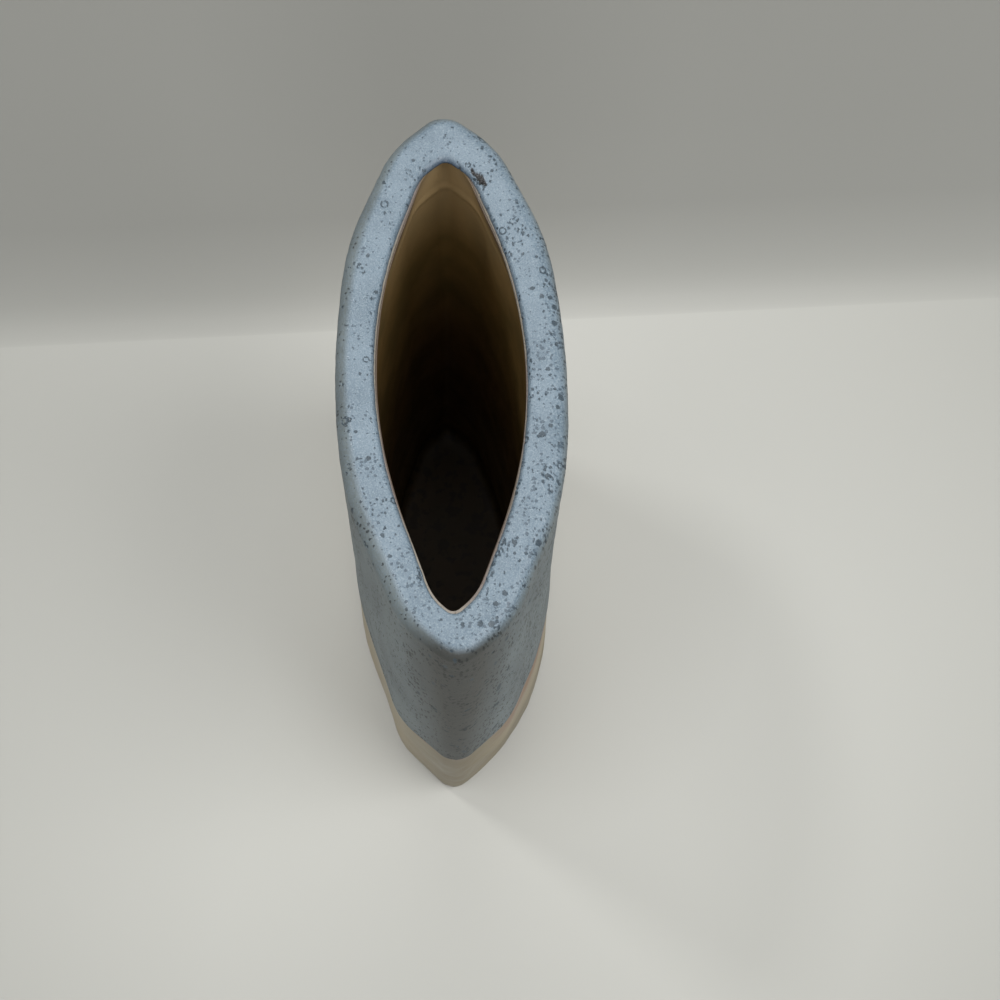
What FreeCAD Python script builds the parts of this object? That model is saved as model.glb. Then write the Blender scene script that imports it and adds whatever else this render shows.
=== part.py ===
import FreeCAD
import Part
import enum
import math
import os

import Sketcher

# Pillow vase: a slab-built stoneware vessel with an almond-shaped plan, a thick turned-in rim and
# three fired glaze layers.
# Millimetres. +Z is up and the foot stands on Z = 0 with the origin at the middle of the foot. The
# long axis of the almond runs along X, from tip to tip, and the broad faces look along Y.
# Every level of the vase is one outline of eight arcs, two broad ones, four shoulders and two tips,
# joined by straight stretches. From the foot to the rim the arcs keep their radii while the straight
# stretches change, so that the mouth end is longer and slimmer than the foot. The space inside goes
# straight down, so the broad walls are thicker below. Each real piece is cut from such forms.

SIZES = {
    # Clay body, outside: lengths run from tip to tip, widths across the broad faces
    "height": 214.0,
    "foot_length": 152.0,
    "foot_width": 69.5,
    "rim_length": 163.5,
    "rim_width": 63.1,
    "tip_radius": 7.5,
    # Shortest straight stretches that any level has: beside the broad arcs, and beside the tips
    "least_flank": 3.1,
    "least_cheek": 0.9,
    # Turn of the outline where the broad arc and the shoulder arc end
    "broad_turn_degrees": 20.0,
    "shoulder_turn_degrees": 50.0,
    # Slabs and rim
    "floor_thickness": 6.0,
    "foot_bevel": 1.6,
    "rim_edge_bevel": 2.8,
    "rim_glaze_bevel": 3.2,
    "rim_depth": 22.0,
    # Space inside, straight down from the rim, and the narrower mouth above it
    "cavity_length": 138.0,
    "cavity_width": 49.0,
    "cavity_tip_radius": 4.2,
    "mouth_length": 138.0,
    "mouth_width": 42.0,
    "mouth_tip_radius": 2.6,
    # Glazes: thickness, where sand meets blue, and the bare line round the mouth
    "glaze_thickness": 0.75,
    "liner_thickness": 0.6,
    "glaze_line_level": 65.5,
    "bare_lip_width": 0.9,
    # Overrun of every cutting block past what it cuts
    "overrun": 20.0,
}

# What follows from the sizes: the turns as sines and cosines, the room that each level leaves for its
# flanks and cheeks, and the two radii that all levels share
LEVELS = {
    "foot": ("foot_length", "foot_width", "tip_radius"),
    "rim": ("rim_length", "rim_width", "tip_radius"),
    "cavity": (
        "(cavity_length + 2 * cavity_inset)", "rim_width", "(cavity_tip_radius + cavity_inset)"
    ),
    "mouth": ("(mouth_length + 2 * mouth_inset)", "rim_width", "(mouth_tip_radius + mouth_inset)"),
}
FOLLOWING = {
    "sin_broad": "sin(broad_turn_degrees * 1 deg)",
    "cos_broad": "cos(broad_turn_degrees * 1 deg)",
    "sin_shoulder": "sin(shoulder_turn_degrees * 1 deg)",
    "cos_shoulder": "cos(shoulder_turn_degrees * 1 deg)",
    "turned": "cos_broad * sin_shoulder - cos_shoulder * sin_broad",
    "cavity_inset": "(rim_width - cavity_width) / 2",
    "mouth_inset": "(rim_width - mouth_width) / 2",
}
for level_name, (length, width, tip) in LEVELS.items():
    reach = f"({length} / 2 - {tip} * (1 - sin_shoulder))"
    rise = f"({width} / 2 - {tip} * cos_shoulder)"
    FOLLOWING[f"{level_name}_flank"] = f"({reach} * sin_shoulder - {rise} * cos_shoulder) / turned"
    FOLLOWING[f"{level_name}_cheek"] = f"({rise} * cos_broad - {reach} * sin_broad) / turned"
FOLLOWING |= {
    "flank_room": f"min({'; '.join(f'{name}_flank' for name in LEVELS)}) - least_flank",
    "cheek_room": f"min({'; '.join(f'{name}_cheek' for name in LEVELS)}) - least_cheek",
    "flank_per_broad": "(sin_broad * sin_shoulder - (1 - cos_broad) * cos_shoulder) / turned",
    "flank_per_shoulder": "((sin_shoulder - sin_broad) * sin_shoulder"
    " - (cos_broad - cos_shoulder) * cos_shoulder) / turned",
    "cheek_per_broad": "((1 - cos_broad) * cos_broad - sin_broad * sin_broad) / turned",
    "cheek_per_shoulder": "((cos_broad - cos_shoulder) * cos_broad"
    " - (sin_shoulder - sin_broad) * sin_broad) / turned",
    "both": "flank_per_broad * cheek_per_shoulder - flank_per_shoulder * cheek_per_broad",
    "broad_radius": "(flank_room * cheek_per_shoulder - cheek_room * flank_per_shoulder) / both",
    "shoulder_radius": "(cheek_room * flank_per_broad - flank_room * cheek_per_broad) / both",
}

doc = FreeCAD.newDocument("pillow_vase")
sheet = doc.addObject("Spreadsheet::Sheet", "Sizes")
CELLS = {alias: str(value) for alias, value in SIZES.items()}
CELLS |= {alias: f"={formula}" for alias, formula in FOLLOWING.items()}
for row, (alias, content) in enumerate(CELLS.items(), start=1):
    sheet.set(f"A{row}", alias)
    sheet.setAlias(f"B{row}", alias)
for row, content in enumerate(CELLS.values(), start=1):
    sheet.set(f"B{row}", content)
doc.recompute()


def size(name, offset=""):
    """The sheet's value of that name as an expression, with an offset behind it."""
    return f"(Sizes.{name}{offset})"


def value_of(expression):
    """What an expression over the sheet comes to, as a number."""
    found = sheet.evalExpression(expression)
    return float(getattr(found, "Value", found))


class Outline:
    """One level of the vase: its length and width, how far it is offset from the clay, its height.

    All are expressions over the sheet. An offset outline keeps the centres of its arcs and changes
    their radii, as a wall or a coat of even thickness does.
    """

    def __init__(self, length, width, tip, flank, level, offset="0"):
        self.level = level
        self.tip = f"({tip} + {offset})"
        self.broad = f"(Sizes.broad_radius + {offset})"
        self.shoulder = f"(Sizes.shoulder_radius + {offset})"
        straight = (
            f"({flank} - Sizes.flank_per_broad * Sizes.broad_radius"
            " - Sizes.flank_per_shoulder * Sizes.shoulder_radius)"
        )
        gap = "(Sizes.broad_radius - Sizes.shoulder_radius)"
        self.tip_x = f"({length} / 2 - {tip})"
        self.broad_y = f"(Sizes.broad_radius - {width} / 2)"
        self.shoulder_x = f"({gap} * Sizes.sin_broad + {straight} * Sizes.cos_broad)"
        self.shoulder_y = (
            f"({gap} * Sizes.cos_broad - {straight} * Sizes.sin_broad - {self.broad_y})"
        )

    def arcs(self):
        """The eight arcs, counterclockwise from the tip on +X, worked out as numbers."""
        tip_turn = math.radians(90 - value_of("Sizes.shoulder_turn_degrees"))
        broad_side = math.radians(90 - value_of("Sizes.broad_turn_degrees"))
        tip, shoulder, broad = (value_of(part) for part in (self.tip, self.shoulder, self.broad))
        tip_x, shoulder_x = value_of(self.tip_x), value_of(self.shoulder_x)
        broad_y, shoulder_y = value_of(self.broad_y), value_of(self.shoulder_y)
        return [
            (tip_x, 0, tip, -tip_turn, tip_turn),
            (shoulder_x, shoulder_y, shoulder, tip_turn, broad_side),
            (0, -broad_y, broad, broad_side, math.pi - broad_side),
            (-shoulder_x, shoulder_y, shoulder, math.pi - broad_side, math.pi - tip_turn),
            (-tip_x, 0, tip, math.pi - tip_turn, math.pi + tip_turn),
            (-shoulder_x, -shoulder_y, shoulder, math.pi + tip_turn, math.pi + broad_side),
            (0, broad_y, broad, math.pi + broad_side, -broad_side),
            (shoulder_x, -shoulder_y, shoulder, -broad_side, -tip_turn),
        ]


# The outline's arcs in their order, and the points that a sketch's constraints take hold of
Arc = enum.IntEnum(
    "Arc",
    "RIGHT_TIP BACK_RIGHT BACK_BROAD BACK_LEFT LEFT_TIP FRONT_LEFT FRONT_BROAD FRONT_RIGHT",
    start=0,
)
Point = enum.IntEnum("Point", "START END CENTRE")
X_AXIS, Y_AXIS = range(-1, -3, -1)
ORIGIN = (X_AXIS, Point.START)


def draw(body, name, outline):
    """A sketch of an outline, at its level over the body's ground plane, held by named sizes."""
    sketch = body.newObject("Sketcher::SketchObject", name)
    ground = next(plane for plane in body.Origin.OriginFeatures if plane.Role == "XY_Plane")
    sketch.AttachmentSupport = (ground, [""])
    sketch.MapMode = "FlatFace"
    sketch.setExpression("AttachmentOffset.Base.z", outline.level)
    arcs = []
    for x, y, radius, start, end in outline.arcs():
        circle = Part.Circle(FreeCAD.Vector(x, y, 0), FreeCAD.Vector(0, 0, 1), radius)
        arcs.append(Part.ArcOfCircle(circle, start, end))
    straights = [
        Part.LineSegment(arc.EndPoint, following.StartPoint)
        for arc, following in zip(arcs, arcs[1:] + arcs[:1])
    ]
    for piece in arcs + straights:
        sketch.addGeometry(piece, False)

    def held(kind, *places, by=None):
        """Adds a constraint, and binds its value to an expression."""
        places = [int(place) for place in places]
        if by is None:
            sketch.addConstraint(Sketcher.Constraint(kind, *places))
            return
        number = value_of(by)
        index = sketch.addConstraint(Sketcher.Constraint(kind, *places, number))
        sketch.renameConstraint(index, f"size_{index}")
        sketch.setExpression(f"Constraints.size_{index}", by)

    count = len(arcs)
    for arc in Arc:
        held("Tangent", arc, Point.END, count + arc, Point.START)
        held("Tangent", count + arc, Point.END, (arc + 1) % count, Point.START)
    for arc in (Arc.RIGHT_TIP, Arc.LEFT_TIP):
        held("PointOnObject", arc, Point.CENTRE, X_AXIS)
        held("Radius", arc, by=outline.tip)
    for arc in (Arc.BACK_BROAD, Arc.FRONT_BROAD):
        held("PointOnObject", arc, Point.CENTRE, Y_AXIS)
        held("Radius", arc, by=outline.broad)
    for arc in (Arc.BACK_RIGHT, Arc.BACK_LEFT, Arc.FRONT_LEFT, Arc.FRONT_RIGHT):
        held("Radius", arc, by=outline.shoulder)
    held("DistanceX", *ORIGIN, Arc.RIGHT_TIP, Point.CENTRE, by=outline.tip_x)
    held("DistanceX", Arc.LEFT_TIP, Point.CENTRE, *ORIGIN, by=outline.tip_x)
    held("DistanceY", Arc.BACK_BROAD, Point.CENTRE, *ORIGIN, by=outline.broad_y)
    held("DistanceY", *ORIGIN, Arc.FRONT_BROAD, Point.CENTRE, by=outline.broad_y)
    for arc in (Arc.BACK_RIGHT, Arc.FRONT_RIGHT):
        held("DistanceX", *ORIGIN, arc, Point.CENTRE, by=outline.shoulder_x)
    for arc in (Arc.BACK_LEFT, Arc.FRONT_LEFT):
        held("DistanceX", arc, Point.CENTRE, *ORIGIN, by=outline.shoulder_x)
    for arc in (Arc.BACK_RIGHT, Arc.BACK_LEFT):
        held("DistanceY", *ORIGIN, arc, Point.CENTRE, by=outline.shoulder_y)
    for arc in (Arc.FRONT_LEFT, Arc.FRONT_RIGHT):
        held("DistanceY", arc, Point.CENTRE, *ORIGIN, by=outline.shoulder_y)
    return sketch


def bevelled(body, level, width):
    """The body with a bevel on every edge of its outline that lies at a level."""
    doc.recompute()
    height = value_of(level)
    edges = [
        f"Edge{number}"
        for number, edge in enumerate(body.Shape.Edges, start=1)
        if all(abs(vertex.Z - height) < Part.Precision.approximation() for vertex in edge.Vertexes)
    ]
    pad = body.Tip
    bevel = body.newObject("PartDesign::Chamfer", f"{body.Name}_bevel")
    bevel.Base = (pad, edges)
    bevel.Size = value_of(width)
    bevel.setExpression("Size", width)
    return body


def tower(name, outlines):
    """A body with straight-drawn sides, lofted up through outlines."""
    body = doc.addObject("PartDesign::Body", name)
    sketches = [draw(body, f"{name}_level_{i}", outline) for i, outline in enumerate(outlines)]
    doc.recompute()
    loft = body.newObject("PartDesign::AdditiveLoft", f"{name}_loft")
    loft.Profile = sketches[0]
    loft.Sections = sketches[1:]
    loft.Ruled = True
    doc.recompute()
    return body


def plate(name, outline, top):
    """A body of one outline carried straight up to a level."""
    body = doc.addObject("PartDesign::Body", name)
    sketch = draw(body, f"{name}_outline", outline)
    doc.recompute()
    pad = body.newObject("PartDesign::Pad", f"{name}_pad")
    pad.Profile = sketch
    pad.setExpression("Length", f"{top} - {outline.level}")
    doc.recompute()
    return body


def block(name, bottom, top, front=None, back=None):
    """A block over the whole plan between two levels, or on one side of the middle plane."""
    box = doc.addObject("Part::Box", name)
    half_x = "(Sizes.rim_length / 2 + Sizes.overrun)"
    half_y = "(Sizes.rim_width / 2 + Sizes.overrun)"
    front = front or f"(-1 * {half_y})"
    back = back or half_y
    box.setExpression("Length", f"2 * {half_x}")
    box.setExpression("Width", f"{back} - {front}")
    box.setExpression("Height", f"{top} - {bottom}")
    box.setExpression("Placement.Base.x", f"-1 * {half_x}")
    box.setExpression("Placement.Base.y", front)
    box.setExpression("Placement.Base.z", bottom)
    return box


def cut(name, base, tool):
    """The base with the tool taken away."""
    result = doc.addObject("Part::Cut", name)
    result.Base = base
    result.Tool = tool
    return result


def common(name, first, second):
    """What two shapes share."""
    result = doc.addObject("Part::Common", name)
    result.Base = first
    result.Tool = second
    return result


def fuse(name, shapes):
    """Several shapes as one."""
    result = doc.addObject("Part::MultiFuse", name)
    result.Shapes = shapes
    result.Refine = True
    return result


def grown(level_name, level, by="0"):
    """A clay outline of the vase, grown outward all round by an expression."""
    return Outline(
        size(f"{level_name}_length"),
        size(f"{level_name}_width"),
        size("tip_radius"),
        size(f"{level_name}_flank"),
        level,
        by,
    )


def inside(level_name, level, spare="0"):
    """An outline of the cavity or the mouth, widened all round by an expression."""
    inset = size(f"{level_name}_inset")
    return Outline(
        size(f"{level_name}_length", f" + 2 * {inset}"),
        size("rim_width"),
        size(f"{level_name}_tip_radius", f" + {inset}"),
        size(f"{level_name}_flank"),
        level,
        f"({spare} - {inset})",
    )


GROUND = "0"
TOP = size("height")
FLOOR = size("floor_thickness")
RIM = "(Sizes.height - Sizes.rim_depth)"
GLAZE = "Sizes.glaze_thickness"
GLAZED_TOP = f"(Sizes.height + {GLAZE})"
LINER = "Sizes.liner_thickness"
OVER = "(Sizes.height + Sizes.overrun)"


def wall_form(name, by="0"):
    """The outside of the walls, from the floor slab up to the rim."""
    return tower(
        name,
        [grown("foot", FLOOR, by), grown("rim", RIM, by)],
    )


def cavity_form(name, bottom, liner="0"):
    """The space between the walls, from a bottom level up to the rim."""
    return plate(name, inside("cavity", bottom, f"(-1 * {liner})"), RIM)


def throat_form(name, liner="0"):
    """The space inside the rim, which narrows from the cavity to the mouth."""
    return tower(
        name,
        [inside("cavity", RIM, f"(-1 * {liner})"), inside("mouth", GLAZED_TOP, f"(-1 * {liner})")],
    )


# The floor slab, with its wiped lower edge
floor_slab = bevelled(plate("floor_slab", grown("foot", GROUND), FLOOR), GROUND, size("foot_bevel"))

# The two wall slabs stand on the floor slab and meet at the tips
walls = wall_form("walls")
cavity = cavity_form("cavity", FLOOR)
wall_ring = cut("wall_ring", walls, cavity)
front_wall_slab = common(
    "front_wall_slab", wall_ring, block("front_block", FLOOR, RIM, back=GROUND)
)
back_wall_slab = common(
    "back_wall_slab", wall_ring, block("back_block", FLOOR, RIM, front=GROUND)
)

# The thick rim band turns in over the walls, and leaves the mouth open
rim = bevelled(plate("rim", grown("rim", RIM), TOP), TOP, size("rim_edge_bevel"))
throat = throat_form("throat")
rim_band = cut("rim_band", rim, throat)

# Glaze outside: sand on the lower walls, blue above it and over the rim
glazed_walls = wall_form("glazed_walls", GLAZE)
wall_skin = cut("wall_skin", glazed_walls, walls)
glaze_line = size("glaze_line_level")
sand_glaze = common("sand_glaze", wall_skin, block("sand_block", FLOOR, glaze_line))
blue_wall = common("blue_wall", wall_skin, block("blue_block", glaze_line, RIM))
glazed_rim = bevelled(
    plate("glazed_rim", grown("rim", RIM, GLAZE), GLAZED_TOP), GLAZED_TOP, size("rim_glaze_bevel")
)
rim_skin = cut("rim_skin", glazed_rim, rim)
bare_lip = plate("bare_lip", inside("mouth", RIM, "Sizes.bare_lip_width"), OVER)
blue_rim = cut("blue_rim", rim_skin, bare_lip)
blue_glaze = fuse("blue_glaze", [blue_wall, blue_rim])

# Liner glaze: floor, walls and throat, up to a bare line just under the lip
lined_cavity = cavity_form("lined_cavity", f"(Sizes.floor_thickness + {LINER})", LINER)
lined_walls = cut("lined_walls", cavity, lined_cavity)
throat_skin = cut("throat_skin", throat, throat_form("lined_throat", LINER))
lined_lip = common(
    "lined_lip",
    throat_skin,
    block("liner_block", RIM, "(Sizes.height - Sizes.bare_lip_width)"),
)
liner_glaze = fuse("liner_glaze", [lined_walls, lined_lip])

doc.recompute()

PARTS = [
    floor_slab,
    front_wall_slab,
    back_wall_slab,
    rim_band,
    sand_glaze,
    blue_glaze,
    liner_glaze,
]

for item in doc.Objects:
    if "Invalid" in item.State or "Error" in item.State:
        raise RuntimeError(f"{item.Label} did not recompute: {item.State}")
for item in PARTS:
    if item.Shape.isNull() or not item.Shape.isValid():
        raise RuntimeError(f"{item.Label} has no valid shape")

os.makedirs("parts", exist_ok=True)
for item in PARTS:
    item.Shape.exportStep(f"parts/{item.Label}.step")
    box = item.Shape.BoundBox
    print(
        f"{item.Label}: {len(item.Shape.Solids)} solid, {item.Shape.Volume:.0f} mm3, "
        f"X {box.XMin:.2f} to {box.XMax:.2f}, Y {box.YMin:.2f} to {box.YMax:.2f}, "
        f"Z {box.ZMin:.2f} to {box.ZMax:.2f}"
    )
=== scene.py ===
"""Looks of a tall slab-built pillow vase: pitted grey-blue glaze over sand glaze, brown liner inside.

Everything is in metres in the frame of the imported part: +Z up, the long axis of the almond-shaped plan
along X, the foot on Z = 0. The photograph looks down from the -X end, so its left side is +Y.
"""
import logging
import math
import random
from dataclasses import dataclass, replace
from enum import Enum
from typing import Any, ClassVar

import bmesh
import bpy
from mathutils import Matrix, Vector, kdtree, noise


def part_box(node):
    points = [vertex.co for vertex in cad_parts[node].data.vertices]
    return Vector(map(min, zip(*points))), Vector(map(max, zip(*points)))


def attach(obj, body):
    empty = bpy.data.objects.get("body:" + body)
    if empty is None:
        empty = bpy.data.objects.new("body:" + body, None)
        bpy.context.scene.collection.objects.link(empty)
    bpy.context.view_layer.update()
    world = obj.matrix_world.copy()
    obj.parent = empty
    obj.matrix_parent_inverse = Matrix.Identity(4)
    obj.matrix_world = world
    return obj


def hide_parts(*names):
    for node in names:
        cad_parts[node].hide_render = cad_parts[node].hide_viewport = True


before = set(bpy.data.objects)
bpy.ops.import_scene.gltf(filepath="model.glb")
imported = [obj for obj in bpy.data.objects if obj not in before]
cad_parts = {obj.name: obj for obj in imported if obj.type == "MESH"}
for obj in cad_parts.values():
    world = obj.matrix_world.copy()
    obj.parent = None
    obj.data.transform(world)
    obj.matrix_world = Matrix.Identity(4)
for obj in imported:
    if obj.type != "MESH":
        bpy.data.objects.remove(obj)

logging.basicConfig(level=logging.INFO, format="%(message)s")
log = logging.getLogger("pillow_vase")

MM = 0.001
BODY = "root"
UP = Vector((0.0, 0.0, 1.0))
Section = tuple[tuple[float, float], ...]


class Slot(Enum):
    """The record's material slots."""

    CLAY = "stoneware"
    BLUE = "blue_glaze"
    SAND = "sand_glaze"
    LINER = "liner_glaze"


class Fall(Enum):
    """How a colour gives way to the next."""

    EVEN = "LINEAR"
    SOFT = "SMOOTHSTEP"


def linear(code: str) -> tuple[float, float, float, float]:
    """Turns an sRGB hex colour into linear RGBA.

    Args:
        code: A colour such as "#9DAFBC".

    Returns:
        Red, green, blue and an alpha of one, in linear light.
    """
    channels = [int(code[i:i + 2], 16) / 255 for i in (1, 3, 5)]
    lit = [c / 12.92 if c <= 0.04045 else ((c + 0.055) / 1.055) ** 2.4 for c in channels]
    return (*lit, 1.0)


def per_metre(size_mm: float) -> float:
    """Returns the texture scale whose cells are that many millimetres across."""
    return 1.0 / (size_mm * MM)


def clamp(value: float) -> float:
    """Returns a value kept between nought and one."""
    return min(1.0, max(0.0, value))


def spread(low: float, high: float, step: float) -> list[float]:
    """Returns even values from low to high, about a step apart, both ends among them."""
    count = max(1, round((high - low) / step))
    return [low + (high - low) * i / count for i in range(count + 1)]


def smooth_object(name: str, mesh: bmesh.types.BMesh, finish: bpy.types.Material) -> bpy.types.Object:
    """Makes an object of a mesh, shaded smooth.

    Args:
        name: The object's name.
        mesh: Its mesh, which is freed.
        finish: Its material.

    Returns:
        The object, linked to the scene.
    """
    for face in mesh.faces:
        face.smooth = True
    data = bpy.data.meshes.new(name)
    mesh.to_mesh(data)
    mesh.free()
    data.materials.append(finish)
    made = bpy.data.objects.new(name, data)
    bpy.context.scene.collection.objects.link(made)
    return made


def add(
    tree: bpy.types.NodeTree, kind: str, inputs: dict[int | str, Any] | None = None, **settings: Any
) -> bpy.types.Node:
    """Adds a node with its settings, and fills or links its inputs.

    Args:
        tree: The node tree that gets the node.
        kind: The node's type, such as "ShaderNodeMath".
        inputs: Values, hex colours, or output sockets to link, by input name or index.
        settings: The node's own properties.

    Returns:
        The new node.
    """
    node = tree.nodes.new(kind)
    for name, value in settings.items():
        setattr(node, name, value)
    for key, value in (inputs or {}).items():
        if isinstance(value, bpy.types.NodeSocket):
            tree.links.new(value, node.inputs[key])
        else:
            node.inputs[key].default_value = linear(value) if isinstance(value, str) else value
    return node


def fresh_material(name: str) -> tuple[bpy.types.Material, bpy.types.NodeTree, bpy.types.Node]:
    """Starts a material with its shader.

    Args:
        name: What the finish is called.

    Returns:
        The material, its tree and its Principled shader.
    """
    material = bpy.data.materials.new(name)
    material.use_nodes = True
    tree = material.node_tree
    return material, tree, tree.nodes["Principled BSDF"]


@dataclass(frozen=True)
class PittedGlaze:
    """Matte volcanic glaze, fired till it blistered: cloudy grey-blue on top, greyer on the walls where it is
    thinner, and painted darker there as shade.
    """

    name: str = "pitted_volcanic_glaze"
    body: str = "#7B8C99"
    cloud: str = "#6E7F8C"
    frost: str = "#9DACB5"
    # The walls' colours: greyer, thinner glaze, and darker as painted shade where the walls face away from
    # the light above
    wall: str = "#757F81"
    wall_cloud: str = "#666F71"
    # The near tip's colour: partly thin glaze, partly painted shade where the front gets little light
    thin: str = "#3F3F3B"
    pinhole: str = "#3D4A53"
    speck: str = "#4C5B67"
    # Darker glaze where the lip rolls into the mouth, partly glaze that gathered and partly painted shade;
    # also at the walls' rolled lower edge
    pool: str = "#3F4D5E"
    streak: str = "#222627"
    crack: str = "#0E0C0B"
    cloud_mm: float = 13.0
    frost_mm: float = 0.5
    ragged_mm: float = 0.55
    shaken_mm: float = 0.75
    cluster_mm: float = 9.0
    crater_mm: float = 2.8
    crater_keep: float = 0.7
    crater_reach: float = 0.38
    pinhole_mm: float = 1.05
    pinhole_keep: float = 0.4
    pinhole_reach: float = 0.55
    crispness: float = 18.0
    run: float = 0.42
    # Where the near tip's painted shade begins and where it is full
    tip_mm: tuple[float, float] = (-70.0, -80.0)
    busy_by_y: float = -3.0
    busy_by_x: float = -0.8
    dull_wall: float = 0.6
    bump_mm: float = 0.2
    ior: float = 1.5

    def holes(
        self, tree: bpy.types.NodeTree, place: bpy.types.NodeSocket, busy: bpy.types.NodeSocket,
        size: float, keep: float, largest: float,
    ) -> bpy.types.NodeSocket:
        """Scatters round holes of all sizes, small ones most.

        Args:
            tree: The material's tree.
            place: The texture coordinates.
            busy: How large the holes may be at a place, about one.
            size: The spacing of the holes in millimetres.
            keep: The share of the places that stay whole.
            largest: The reach of the largest hole as a share of the spacing.

        Returns:
            One inside a hole and nought outside it.
        """
        texture = add(tree, "ShaderNodeTexVoronoi", {"Vector": place, "Scale": per_metre(size)})
        lot = add(tree, "ShaderNodeSeparateColor", {0: texture.outputs["Color"]})
        reach = add(tree, "ShaderNodeMapRange", {0: lot.outputs[0], 1: keep, 2: 1.0})
        for factor, operation in ((0.5, "POWER"), (busy, "MULTIPLY"), (largest, "MULTIPLY")):
            reach = add(tree, "ShaderNodeMath", {0: reach.outputs[0], 1: factor}, operation=operation)
        away = texture.outputs["Distance"]
        room = add(tree, "ShaderNodeMath", {0: reach.outputs[0], 1: away}, operation="SUBTRACT").outputs[0]
        return add(
            tree, "ShaderNodeMath", {0: room, 1: self.crispness}, operation="MULTIPLY", use_clamp=True,
        ).outputs[0]

    def build(self) -> bpy.types.Material:
        """Makes the material, whose pits read the mesh's own attributes.

        Returns:
            The finished material.
        """
        material, tree, shader = fresh_material(self.name)
        object_place = add(tree, "ShaderNodeTexCoord").outputs["Object"]
        axes = add(tree, "ShaderNodeSeparateXYZ", {0: object_place})
        pit, pool, crack, side = (
            add(tree, "ShaderNodeAttribute", attribute_name=name).outputs["Fac"]
            for name in ("pit", "pool", "crack", "side")
        )
        # The glaze ran down the walls, so everything in it is drawn out along Z
        place = add(
            tree, "ShaderNodeVectorMath", {0: object_place, 1: (1.0, 1.0, self.run)}, operation="MULTIPLY",
        ).outputs[0]
        cloud, frost, ragged, cluster = (
            add(tree, "ShaderNodeTexNoise", {"Vector": place, "Scale": per_metre(size), "Detail": detail})
            for size, detail in (
                (self.cloud_mm, 5.0), (self.frost_mm, 2.0), (self.ragged_mm, 1.0), (self.cluster_mm, 2.0),
            )
        )
        frost = frost.outputs["Fac"]

        # Clouds: glaze that lies thicker and thinner. On the walls and the rim's outer rounding it is greyer
        # where it thins and painted darker as shade; the near tip is darker still, partly thin glaze and
        # partly painted shade
        clouded = add(tree, "ShaderNodeMapRange", {0: cloud.outputs["Fac"], 1: 0.38, 2: 0.64}).outputs[0]
        on_top = add(tree, "ShaderNodeMapRange", {0: frost, 1: 0.5, 2: 0.68, 4: 0.55}).outputs[0]
        on_walls = add(tree, "ShaderNodeMapRange", {0: frost, 1: 0.45, 2: 0.7, 4: 0.42}).outputs[0]
        tip = add(
            tree, "ShaderNodeMapRange",
            {0: axes.outputs["X"], 1: self.tip_mm[0] * MM, 2: self.tip_mm[1] * MM, 4: 0.9},
        ).outputs[0]
        top, wall = self.body, self.wall
        for share, over in ((clouded, self.cloud), (on_top, self.frost)):
            top = add(tree, "ShaderNodeMix", {0: share, 6: top, 7: over}, data_type="RGBA").outputs[2]
        for share, over in ((clouded, self.wall_cloud), (on_walls, self.body), (tip, self.thin)):
            wall = add(tree, "ShaderNodeMix", {0: share, 6: wall, 7: over}, data_type="RGBA").outputs[2]
        dot = add(
            tree, "ShaderNodeMix", {0: side, 6: self.speck, 7: self.streak}, data_type="RGBA",
        ).outputs[2]

        # Burst bubbles: ragged craters, some of them rings, and pinholes that crowd together. The side at -Y
        # and the near tip blistered most
        shaken = add(
            tree, "ShaderNodeVectorMath",
            {0: ragged.outputs["Color"], 1: (self.shaken_mm * MM,) * 3, 2: place}, operation="MULTIPLY_ADD",
        ).outputs[0]
        crowd = cluster.outputs["Fac"]
        for axis, slope in (("Y", self.busy_by_y), ("X", self.busy_by_x)):
            crowd = add(
                tree, "ShaderNodeMath", {0: axes.outputs[axis], 1: slope, 2: crowd}, operation="MULTIPLY_ADD",
            ).outputs[0]
        busy = add(tree, "ShaderNodeMapRange", {0: crowd, 1: 0.34, 2: 0.66, 3: 0.45, 4: 1.1}).outputs[0]
        crater = self.holes(tree, shaken, busy, self.crater_mm, self.crater_keep, self.crater_reach)
        pinhole = self.holes(tree, shaken, busy, self.pinhole_mm, self.pinhole_keep, self.pinhole_reach)
        uneven = add(
            tree, "ShaderNodeMath", {0: ragged.outputs["Fac"], 1: 0.7, 2: pit}, operation="MULTIPLY_ADD",
        )
        burst = add(tree, "ShaderNodeMapRange", {0: uneven.outputs[0], 1: 0.72, 2: 0.86}).outputs[0]
        deep = add(tree, "ShaderNodeMath", {0: crater, 1: burst}, operation="MAXIMUM").outputs[0]
        faint, dark = (
            add(tree, "ShaderNodeMath", {0: holes, 1: most}, operation="MULTIPLY").outputs[0]
            for holes, most in ((pinhole, 0.8), (deep, 0.88))
        )
        colour = top
        # First the walls' grey with its painted shade, then the painted shade where the lip rolls into the
        # mouth
        layers = (
            (side, wall), (pool, self.pool), (faint, dot), (dark, self.pinhole), (crack, self.crack),
        )
        for share, over in layers:
            colour = add(tree, "ShaderNodeMix", {0: share, 6: colour, 7: over}, data_type="RGBA").outputs[2]
        tree.links.new(colour, shader.inputs["Base Color"])

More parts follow.
